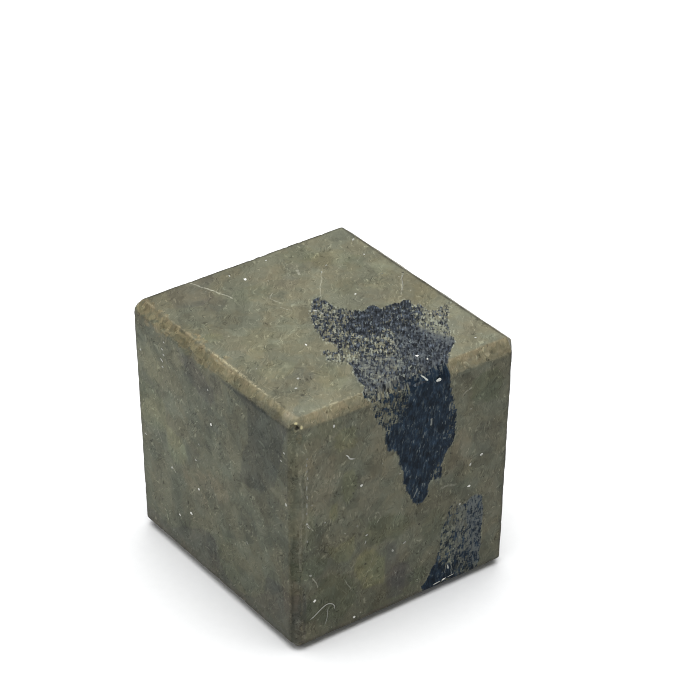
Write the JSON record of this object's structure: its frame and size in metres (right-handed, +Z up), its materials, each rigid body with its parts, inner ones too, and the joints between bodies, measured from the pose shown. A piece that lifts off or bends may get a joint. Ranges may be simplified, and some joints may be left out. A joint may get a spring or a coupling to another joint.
{
  "type": "pyrite specimen",
  "caption": "Small cube ground from solid pyrite, with narrow hand-cut bevels, worn chips along its edges and a dark blue-black mineral patch over one edge.",
  "frame": {"origin": "middle of the stone's footprint on the surface it rests on", "axes": "+Z up, +X and +Y along the two level edges; the front corner of the picture points to -X and -Y"},
  "size_m": [0.0296, 0.0312, 0.03],
  "materials": {
    "pyrite": "satin"
  },
  "bodies": {
    "root": {"pyrite_cube": "pyrite"}
  },
  "joints": []
}
